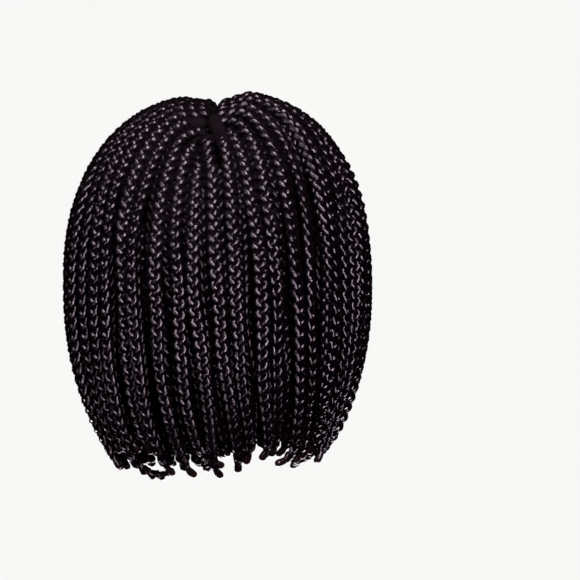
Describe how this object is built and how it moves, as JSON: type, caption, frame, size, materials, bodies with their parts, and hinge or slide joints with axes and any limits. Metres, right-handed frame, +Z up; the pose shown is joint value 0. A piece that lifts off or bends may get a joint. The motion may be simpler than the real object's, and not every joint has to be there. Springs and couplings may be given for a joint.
{
  "type": "braided bob wig",
  "caption": "Chin-length bob wig of black box braids with a centre parting, on a stretch cap that a head fills.",
  "frame": {"origin": "the top of the head, where it meets the inside of the cap", "axes": "+Z up, -Y the way the face looks, +X the wearer's left"},
  "size_m": [0.2246, 0.2137, 0.2832],
  "materials": {
    "braided_hair": "black synthetic hair fibre in three-strand braids, soft sheen",
    "cap_net": "black stretch net, matt"
  },
  "bodies": {
    "root": {"wig_cap": "cap_net", "under_braids_back": "braided_hair", "under_braids_left": "braided_hair", "under_braids_right": "braided_hair", "braid_left_01": "braided_hair", "braid_right_01": "braided_hair", "braid_left_02": "braided_hair", "braid_right_02": "braided_hair", "braid_left_03": "braided_hair", "braid_right_03": "braided_hair", "braid_left_04": "braided_hair", "braid_right_04": "braided_hair", "braid_left_05": "braided_hair", "braid_right_05": "braided_hair", "braid_left_06": "braided_hair", "braid_right_06": "braided_hair", "braid_left_07": "braided_hair", "braid_right_07": "braided_hair", "braid_left_08": "braided_hair", "braid_right_08": "braided_hair", "braid_left_09": "braided_hair", "braid_right_09": "braided_hair", "braid_left_10": "braided_hair", "braid_right_10": "braided_hair", "braid_left_11": "braided_hair", "braid_right_11": "braided_hair", "braid_left_12": "braided_hair", "braid_right_12": "braided_hair", "braid_left_13": "braided_hair", "braid_right_13": "braided_hair", "braid_left_14": "braided_hair", "braid_right_14": "braided_hair", "braid_left_15": "braided_hair", "braid_right_15": "braided_hair", "braid_left_16": "braided_hair", "braid_right_16": "braided_hair", "braid_left_17": "braided_hair", "braid_right_17": "braided_hair", "braid_left_18": "braided_hair", "braid_right_18": "braided_hair", "braid_left_19": "braided_hair", "braid_right_19": "braided_hair"}
  },
  "joints": []
}
